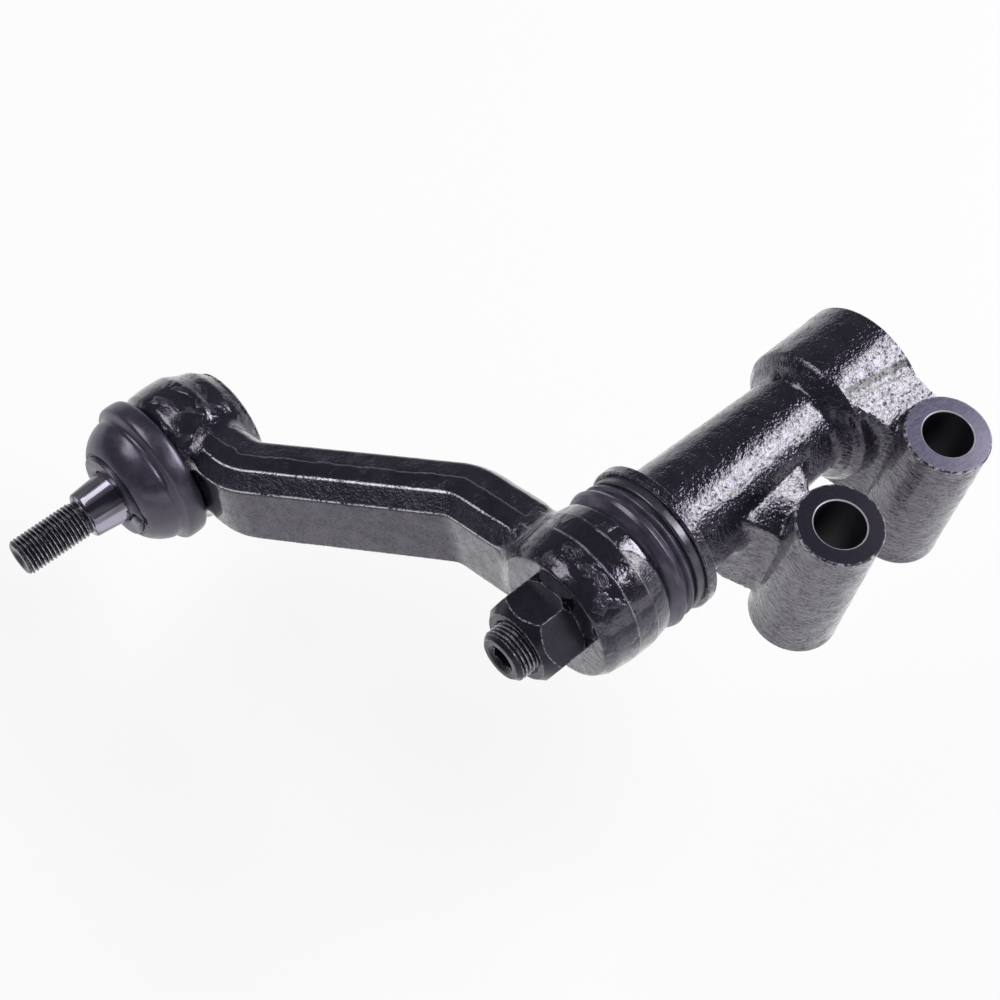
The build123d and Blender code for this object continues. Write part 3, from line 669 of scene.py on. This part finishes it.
def makeRubber(name, finish):
    material, tree, shader, place, _ = startMaterial(name, finish)
    haze = useGroup(tree, smudges, Place=place, Size=10.0, Low=finish["roughLow"], High=finish["roughHigh"])
    grain = noiseOf(tree, place, 0.35, 3.0, 0.6)
    flow = noiseOf(tree, place, 6.0, 2.0, 0.5, warp=0.5)
    base = mixColor(tree, remap(tree, flow, 0.35, 0.7), asColor(finish["color"]), asColor(finish["dusty"]))
    feed(tree, shader.inputs["Base Color"], base)
    feed(tree, shader.inputs["Roughness"], haze["Roughness"])
    around = useGroup(tree, aroundAxis, Place=place, Center=finish["center"], Direction=(1, 0, 0))
    rings = useGroup(tree, turnedMarks, Distance=around["Along"], Place=place, Pitch=1.1, Depth=0.02)
    height = calc(tree, "MULTIPLY_ADD", grain, 0.008, rings["Height"])
    height = calc(tree, "MULTIPLY_ADD", flow, 0.05, height)
    setBump(tree, shader, height)
    return material


materials = {"bracketPaint": makeBracketPaint(bracketFinish), "armPaint": makeArmPaint(armFinish)}
for name, finish in metalFinishes.items():
    materials[name] = makeMetal(name, finish)
for name, finish in rubberFinishes.items():
    materials[name] = makeRubber(name, finish)
print("materials made:", len(materials))

nodeFinish = {
    "bracket_housing": "bracketPaint",
    "idler_arm": "armPaint",
    "pivot_nut": "nutSteel",
    "pivot_shaft": "shaftSteel",
    "ball_stud": "studSteel",
    "front_bushing": "bushBronze",
    "rear_bushing": "bushBronze",
    "front_thrust_washer": "washerSteel",
    "rear_thrust_washer": "washerSteel",
    "shaft_spacer": "washerSteel",
    "thrust_pad": "washerSteel",
    "preload_spring": "springSteel",
    "seat_spring": "springSteel",
    "snap_ring": "springSteel",
    "boot_insert_ring": "springSteel",
    "boot_neck_ring": "springSteel",
    "end_plug": "plugSteel",
    "socket_cover": "coverSteel",
    "seal_retainer": "plugSteel",
    "dust_seal": "sealRubber",
    "dust_boot": "bootRubber",
    "front_ball_seat": "seatPolymer",
    "rear_ball_seat": "seatPolymer",
}
for nodeName, finishName in nodeFinish.items():
    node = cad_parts[nodeName]
    if not node.material_slots:
        node.data.materials.append(None)
    for slot in node.material_slots:
        slot.material = materials[finishName]


# turned pieces with a thread, built as rings of points around X

def ringMesh(name, rows, closed=False):
    mesh = bpy.data.meshes.new(name)
    bm = bmesh.new()
    grid = [[bm.verts.new(p) for p in row] for row in rows]
    count = len(grid[0])
    pairs = list(zip(grid, grid[1:])) + ([(grid[-1], grid[0])] if closed else [])
    for low, high in pairs:
        for k in range(count):
            bm.faces.new((low[k], low[(k + 1) % count], high[(k + 1) % count], high[k]))
    if not closed:
        for row, flip in ((grid[0], True), (grid[-1], False)):
            bm.faces.new(row[::-1] if flip else row)
    bmesh.ops.remove_doubles(bm, verts=bm.verts, dist=1e-7)
    bmesh.ops.dissolve_degenerate(bm, dist=1e-7, edges=bm.edges)
    bmesh.ops.recalc_face_normals(bm, faces=bm.faces)
    bm.to_mesh(mesh)
    bm.free()
    for polygon in mesh.polygons:
        polygon.use_smooth = True
    piece = bpy.data.objects.new(name, mesh)
    bpy.context.scene.collection.objects.link(piece)
    return piece


def ringRow(center, x, radius, segments):
    points = []
    for k in range(segments):
        a = 2 * math.pi * k / segments
        r = radius(a) if callable(radius) else radius
        px = x(a) if callable(x) else x
        points.append(Vector((px, r * math.cos(a), r * math.sin(a))) * mm + Vector((0, center.y, center.z)))
    return points


# a thread as rows that climb with the turn; "lead" is how far its start is chamfered
def threadRows(center, x0, x1, major, pitch, segments, lead, perTurn=10):
    depth = 0.61 * pitch
    rows = []
    turns = int(math.ceil((x1 - x0) / pitch)) + 1
    for i in range(turns * perTurn + 1):
        row = []
        for k in range(segments):
            a = 2 * math.pi * k / segments
            x = x0 + (i / perTurn - 1 + k / segments) * pitch
            phase = (i % perTurn) / perTurn
            wave = abs(2 * phase - 1)
            r = major - depth * min(1.0, max(0.0, (wave - 0.12) / 0.76))
            x = min(max(x, x0), x1)
            r = min(r, major - lead + (x - x0), major)
            if x1 - x < 1.0:
                r = min(r, major - depth * (1 - (x1 - x)))
            row.append(Vector((x, r * math.cos(a), r * math.sin(a))) * mm + Vector((0, center.y, center.z)))
        rows.append(row)
    return rows


def hexRadius(acrossFlats, turn):
    def radius(a):
        side = (a - turn) % (math.pi / 3) - math.pi / 6
        return acrossFlats / 2 / math.cos(side)
    return radius


def plainRows(center, points, segments):
    return [ringRow(center, x, r, segments) for x, r in points]


def sharpen(piece, degrees):
    bm = bmesh.new()
    bm.from_mesh(piece.data)
    for edge in bm.edges:
        if len(edge.link_faces) == 2 and edge.calc_face_angle(0) > math.radians(degrees):
            edge.smooth = False
    bm.to_mesh(piece.data)
    bm.free()


studBuild = {
    "tipRadius": 3.9,
    "recess": 2.2,
    "endX": -205.4,
    "threadX": (-205.4, -180.3),
    "major": 7.0,
    "pitch": 1.5,
    "lead": 1.1,
    "shoulderX": -178.7,
    "smallR": 8.7,
    "largeR": 10.9,
    "taperStartX": -156.6,
    "neckR": 7.8,
    "ballR": 14.0,
    "ballX": -133.0,
    "segments": 120,
}


def makeStud(build):
    n = build["segments"]
    end = build["endX"]
    tip = build["tipRadius"]
    points = [(end + build["recess"], 0.02), (end + 0.5, tip - 1.2), (end + 0.1, tip - 0.15), (end, tip)]
    rows = plainRows(ballAxis, points, n)
    rows += threadRows(ballAxis, *build["threadX"], build["major"], build["pitch"], n, build["lead"])
    root, shoulder, small = build["major"], build["shoulderX"], build["smallR"]
    points = [(shoulder - 1.2, root - 0.55), (shoulder - 0.4, root - 0.5), (shoulder - 0.1, root - 0.2),
              (shoulder, small - 0.5), (shoulder + 0.3, small - 0.12), (shoulder + 0.8, small)]
    large, start, neck = build["largeR"], build["taperStartX"], build["neckR"]
    slope = (large - small) / (start - shoulder - 0.8)
    x = shoulder + 0.8
    while x < start - 1.5:
        x += 1.5
        points.append((x, small + slope * (x - shoulder - 0.8)))
    points += [(start, large), (start + 0.3, large - 0.15), (start + 2.2, neck + 0.6),
               (start + 3.0, neck + 0.2), (start + 4.0, neck)]
    startAngle = math.asin(neck / build["ballR"])
    for k in range(25):
        a = startAngle + (math.pi - 0.02 - startAngle) * k / 24
        points.append((build["ballX"] - build["ballR"] * math.cos(a), build["ballR"] * math.sin(a)))
    stud = ringMesh("ballStud", rows + plainRows(ballAxis, points, n))
    sharpen(stud, 42)
    stud.data.materials.append(materials["studSteel"])
    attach(stud, "stud")
    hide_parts("ball_stud")


shaftBuild = {
    "endX": -129.8,
    "threadR": 9.0,
    "pitch": 1.5,
    "lead": 1.7,
    "threadEndX": -112.0,
    "keyFlats": 8.0,
    "keyDepth": 9.0,
    "body": [(-105.7, 9.0), (-104.5, 9.49), (-80.3, 11.0), (-36.0, 11.0), (-35.0, 10.2), (-26.0, 10.2),
             (-25.0, 11.0), (10.94, 11.0), (10.96, 16.45), (15.9, 16.5), (16.94, 15.5), (16.95, 0.05)],
    "keyTurn": math.radians(17.0),
    "segments": 120,
}


def makeShaft(build):
    n = build["segments"]
    end = build["endX"]
    floor = end + build["keyDepth"]
    pivot = layout["pivot"]
    key = hexRadius(build["keyFlats"], build["keyTurn"])
    rows = [
        ringRow(pivot, floor + 1.5, 0.02, n),
        ringRow(pivot, floor, lambda a: key(a) * 0.9, n),
        ringRow(pivot, floor - 0.05, key, n),
        ringRow(pivot, lambda a: end + 0.35 + (5.1 - key(a)), key, n),
        ringRow(pivot, end + 0.06, 5.3, n),
        ringRow(pivot, end, 5.5, n),
        ringRow(pivot, end, build["threadR"] - build["lead"] - 0.15, n),
    ]
    rows += threadRows(pivot, end, build["threadEndX"], build["threadR"], build["pitch"], n, build["lead"])
    rows += plainRows(pivot, build["body"], n)
    shaft = ringMesh("pivotShaft", rows)
    sharpen(shaft, 42)
    shaft.data.materials.append(materials["shaftSteel"])
    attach(shaft, "arm")
    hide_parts("pivot_shaft")


makeStud(studBuild)
makeShaft(shaftBuild)
print("threaded pieces made")


# cast and forged skins: the solid's own shape with its inner corners filled and its faces slightly uneven

bracketSkin = {
    "depth": 7,  # octree depth of the even mesh
    "box": ((-61.0, -30.0, -59.0), (33.0, 70.0, -1.7)),
    "fillRounds": 26,  # how often the inner corners, grown by the zone, are filled
    "zone": 5,
    "softRounds": 3,
    "waves": ((5.5, 0.20), (2.4, 0.10)),  # size and depth of the unevenness
    # machined places stay true: center, the two axes across, radius, lowest x
    "machined": [((26.0, 0, 0), (0, 1), 9.3, -200), ((-26.0, 0, 0), (0, 1), 9.3, -200),
                 (pivotCenter, (1, 2), 17.4, -200), (pivotCenter, (1, 2), 22.9, 5)],
    "seed": 3,
}
armSkin = {
    "depth": 8,
    "box": None,
    "fillRounds": 90,
    "zone": 12,
    "softRounds": 2,
    "waves": ((9.0, 0.16), (3.2, 0.07)),
    "machined": [(pivotCenter, (1, 2), 12.2, -200), (studCenter, (1, 2), 19.0, -144)],
    "seed": 11,
}


def solidCopy(nodeName):
    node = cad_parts[nodeName]
    mesh = node.data.copy()
    mesh.transform(node.matrix_world)
    mesh.materials.clear()
    bm = bmesh.new()
    bm.from_mesh(mesh)
    bmesh.ops.remove_doubles(bm, verts=bm.verts, dist=2e-6)
    bm.to_mesh(mesh)
    bm.free()
    piece = bpy.data.objects.new("solidCopy", mesh)
    bpy.context.scene.collection.objects.link(piece)
    return piece


def blockOf(low, high):
    bm = bmesh.new()
    bmesh.ops.create_cube(bm, size=1.0)
    for v in bm.verts:
        v.co = Vector([(low[i] if v.co[i] < 0 else high[i]) * mm for i in range(3)])
    mesh = bpy.data.meshes.new("block")
    bm.to_mesh(mesh)
    bm.free()
    block = bpy.data.objects.new("block", mesh)
    bpy.context.scene.collection.objects.link(block)
    return block


def baked(piece):
    graph = bpy.context.evaluated_depsgraph_get()
    mesh = bpy.data.meshes.new_from_object(piece.evaluated_get(graph))
    piece.modifiers.clear()
    return mesh


def cutWith(piece, block, operation):
    cut = piece.modifiers.new("cut", "BOOLEAN")
    cut.operation = operation
    cut.solver = "EXACT"
    cut.object = block
    return baked(piece)


def evenMesh(piece, depth):
    change = piece.modifiers.new("even", "REMESH")
    change.mode = "SHARP"
    change.octree_depth = depth
    change.scale = 0.98
    change.sharpness = 1.0
    change.use_remove_disconnected = False
    return baked(piece)


def readMesh(mesh):
    points = np.empty(len(mesh.vertices) * 3)
    mesh.vertices.foreach_get("co", points)
    edges = np.empty(len(mesh.edges) * 2, dtype=np.int64)
    mesh.edges.foreach_get("vertices", edges)
    return points.reshape(-1, 3), edges.reshape(-1, 2)


def nearbyMean(values, edges, count):
    total = np.zeros_like(values)
    np.add.at(total, edges[:, 0], values[edges[:, 1]])
    np.add.at(total, edges[:, 1], values[edges[:, 0]])
    return total / (count if values.ndim == 1 else count[:, None])


def normalsOf(mesh):
    normals = np.empty(len(mesh.vertices) * 3)
    mesh.vertices.foreach_get("normal", normals)
    return normals.reshape(-1, 3)


def blendAndRoughen(mesh, setup):
    points, edges = readMesh(mesh)
    count = np.bincount(edges.ravel(), minlength=len(points)).astype(float)
    count[count == 0] = 1
    normals = normalsOf(mesh)
    hollow = ((nearbyMean(points, edges, count) - points) * normals).sum(axis=1)
    zone = (hollow > 0.09 * mm).astype(float)  # the inner corners
    for _ in range(setup["zone"]):
        zone = np.maximum(zone, nearbyMean(zone, edges, count) * 1.25)
    zone = np.clip(zone, 0, 1)
    fade = np.ones(len(points))
    if setup["box"]:
        low, high = (np.array(corner) * mm for corner in setup["box"])
        inside = np.minimum(points - low, high - points).min(axis=1)
        fade = np.clip(inside / (2.5 * mm), 0, 1)
    for center, across, radius, fromX in setup["machined"]:
        away = points / mm - np.array(center)
        reach = np.hypot(*(away[:, i] for i in across))
        fade = fade * ~((reach < radius) & (points[:, 0] > fromX * mm))
    for _ in range(setup["fillRounds"]):
        points = points + (nearbyMean(points, edges, count) - points) * (0.6 * zone * fade)[:, None]
    for _ in range(setup["softRounds"]):
        points = points + (nearbyMean(points, edges, count) - points) * (0.45 * fade)[:, None]
    mesh.vertices.foreach_set("co", points.ravel())
    mesh.update()
    normals = normalsOf(mesh)
    drop = np.zeros(len(points))
    offset = Vector((setup["seed"] * 7.3, setup["seed"] * 3.1, 1.7))
    for size, depth in setup["waves"]:
        field = [noise.noise(Vector(p) / (size * mm) + offset) for p in points.tolist()]
        drop += (np.array(field) * 0.5 + 0.5) * depth * mm
    points = points - normals * (drop * fade)[:, None]
    mesh.vertices.foreach_set("co", points.ravel())
    mesh.update()


def makeSkin(nodeName, pieceName, body, finish, setup):
    solid = solidCopy(nodeName)
    kept = None
    if setup["box"]:
        block = blockOf(*setup["box"])
        kept = cutWith(solid, block, "DIFFERENCE")
        solid.data = cutWith(solid, block, "INTERSECT")
        bpy.data.objects.remove(block)
    skin = evenMesh(solid, setup["depth"])
    blendAndRoughen(skin, setup)
    bm = bmesh.new()
    bm.from_mesh(skin)
    if kept:
        bm.from_mesh(kept)
    mesh = bpy.data.meshes.new(pieceName)
    bm.to_mesh(mesh)
    bm.free()
    for polygon in mesh.polygons:
        polygon.use_smooth = True
    mesh.materials.clear()
    mesh.materials.append(materials[finish])
    bpy.data.objects.remove(solid)
    piece = bpy.data.objects.new(pieceName, mesh)
    bpy.context.scene.collection.objects.link(piece)
    sharpen(piece, 38)
    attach(piece, body)
    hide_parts(nodeName)
    print(pieceName, "triangles:", sum(len(polygon.vertices) - 2 for polygon in mesh.polygons))


makeSkin("bracket_housing", "bracketCasting", "bracket", "bracketPaint", bracketSkin)
makeSkin("idler_arm", "armForging", "arm", "armPaint", armSkin)


# the dust boot, a closed shell turned around the stud

bootBuild = {
    "profile": [
        (-145.1, 22.4), (-145.1, 25.8), (-146.4, 27.1), (-151.6, 27.2), (-152.8, 26.4), (-153.6, 24.4),
        (-154.6, 23.7), (-156.2, 24.0), (-160.2, 22.2), (-163.4, 19.6), (-164.9, 17.5), (-164.85, 17.0),
        (-164.3, 16.5), (-164.35, 15.95), (-165.2, 15.95), (-166.2, 15.9), (-166.5, 15.6), (-166.6, 14.8),
        (-166.6, 10.12), (-163.2, 10.22), (-163.2, 15.2), (-161.4, 17.4), (-158.6, 19.9), (-150.7, 20.1),
        (-150.7, 21.55), (-149.3, 21.55), (-149.3, 22.4)],
    "rounding": 2,
    "segments": 220,
    "ventTurn": (math.radians(152), math.radians(176)),
    "ventReach": (11.3, 18.2),
    "ventDepth": 2.2,
    "ventX": -163.4,
}


def softenLoop(points, times):
    for _ in range(times):
        result = []
        for i, (ax, ar) in enumerate(points):
            bx, br = points[(i + 1) % len(points)]
            result.append((0.78 * ax + 0.22 * bx, 0.78 * ar + 0.22 * br))
            result.append((0.22 * ax + 0.78 * bx, 0.22 * ar + 0.78 * br))
        points = result
    return points


def makeBoot(build):
    loop = softenLoop(build["profile"], build["rounding"])
    boot = ringMesh("dustBoot", plainRows(ballAxis, loop, build["segments"]), closed=True)
    turnFrom, turnTo = build["ventTurn"]
    reachFrom, reachTo = build["ventReach"]
    for v in boot.data.vertices:  # the grease vent, a flap folded in at the small end
        y, z = v.co.y - ballAxis.y, v.co.z - ballAxis.z
        turn, reach = math.atan2(z, y), math.hypot(y, z) / mm
        depth = min(1, (build["ventX"] - v.co.x / mm) / 2.4)
        if turnFrom < turn < turnTo and reachFrom < reach < reachTo and depth > 0.1:
            v.co.x += build["ventDepth"] * mm * depth * (turn - turnFrom) / (turnTo - turnFrom)
    sharpen(boot, 48)
    boot.data.materials.append(materials["bootRubber"])
    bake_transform(boot)
    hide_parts("dust_boot")


makeBoot(bootBuild)
print("boot made")


# pale floor, world and soft boxes

studio = {
    "floorZ": -0.172,
    "floorColor": (0.92, 0.92, 0.93),
    "floorSize": 30.0,
    "middle": (-0.08, 0.08, 0.0),
    "worldUp": (0, 0.342, 0.940),  # the world is pale below this lean and dark above
    "dark": (0.115, 0.110, 0.140),
    "pale": (1.0, 0.99, 1.0),
    "glow": 1.02,
    "shadowShare": (0.84, 1.0),  # how pale the floor looks near the part and far off
    "mirrorShare": (0.90, 0.12),  # how pale it is in mirrored light
    "boxTarget": Vector((-0.08, 0.08, -0.04)),
    "boxDistance": 1.3,
    "boxes": {
        "keyBox": {"azimuth": -25, "elevation": 46, "width": 0.92, "height": 0.44, "radiance": 8.6},
        "fillBox": {"azimuth": 118, "elevation": 52, "width": 1.0, "height": 0.62, "radiance": 3.4},
    },
}


def makeFloor(setup):
    mesh = bpy.data.meshes.new("floor")
    s = setup["floorSize"]
    z = setup["floorZ"]
    mesh.from_pydata([(-s, -s, z), (s, -s, z), (s, s, z), (-s, s, z)], [], [(0, 1, 2, 3)])
    floor = bpy.data.objects.new("floor", mesh)
    bpy.context.scene.collection.objects.link(floor)
    material = bpy.data.materials.new("floorPaper")
    material.use_nodes = True
    tree = material.node_tree
    tree.nodes.clear()
    out = tree.nodes.new("ShaderNodeOutputMaterial")
    matte = tree.nodes.new("ShaderNodeBsdfDiffuse")
    matte.inputs["Color"].default_value = asColor(setup["floorColor"])
    glow = tree.nodes.new("ShaderNodeEmission")
    glow.inputs["Color"].default_value = (1, 1, 1, 1)
    glow.inputs["Strength"].default_value = setup["glow"]
    path = tree.nodes.new("ShaderNodeLightPath")
    seen = anyOf(tree, path.outputs["Is Camera Ray"], path.outputs["Is Transmission Ray"])
    mix = tree.nodes.new("ShaderNodeMixShader")
    where = tree.nodes.new("ShaderNodeTexCoord")
    away = vectorCalc(tree, "DISTANCE", where.outputs["Object"], setup["middle"])
    seen = calc(tree, "MULTIPLY", seen, remap(tree, away, 0.5, 1.6, *setup["shadowShare"]))
    nearby = remap(tree, away, 0.15, 0.6, *setup["mirrorShare"])
    mirrored = calc(tree, "MULTIPLY", path.outputs["Is Glossy Ray"], nearby)
    feed(tree, mix.inputs[0], anyOf(tree, seen, mirrored))
    feed(tree, mix.inputs[1], matte.outputs[0])
    feed(tree, mix.inputs[2], glow.outputs[0])
    feed(tree, out.inputs[0], mix.outputs[0])
    mesh.materials.append(material)


def makeWorld(setup):
    world = bpy.data.worlds.new("studio")
    bpy.context.scene.world = world
    world.use_nodes = True
    tree = world.node_tree
    sky = tree.nodes["Background"]
    where = tree.nodes.new("ShaderNodeTexCoord")
    lean = vectorCalc(tree, "DOT_PRODUCT", where.outputs["Generated"], setup["worldUp"])
    up = remap(tree, lean, -0.05, 0.06)
    color = mixColor(tree, up, asColor(setup["pale"]), asColor(setup["dark"]))
    path = tree.nodes.new("ShaderNodeLightPath")
    color = mixColor(tree, path.outputs["Is Camera Ray"], color, asColor(setup["pale"]))
    feed(tree, sky.inputs["Color"], color)


def makeBox(name, box, setup):
    a, e = math.radians(box["azimuth"]), math.radians(box["elevation"])
    away = Vector((math.cos(e) * math.cos(a), math.cos(e) * math.sin(a), math.sin(e)))
    lamp = bpy.data.lights.new(name, "AREA")
    lamp.shape = "RECTANGLE"
    lamp.size = box["width"]
    lamp.size_y = box["height"]
    lamp.energy = box["radiance"] * math.pi * box["width"] * box["height"]
    holder = bpy.data.objects.new(name, lamp)
    bpy.context.scene.collection.objects.link(holder)
    holder.location = setup["boxTarget"] + away * setup["boxDistance"]
    holder.rotation_mode = "QUATERNION"
    holder.rotation_quaternion = away.to_track_quat("Z", "Y")
    holder.visible_camera = False


makeFloor(studio)
makeWorld(studio)
for boxName, box in studio["boxes"].items():
    makeBox(boxName, box, studio)
bpy.context.scene.view_settings.view_transform = "Standard"
print("studio made")
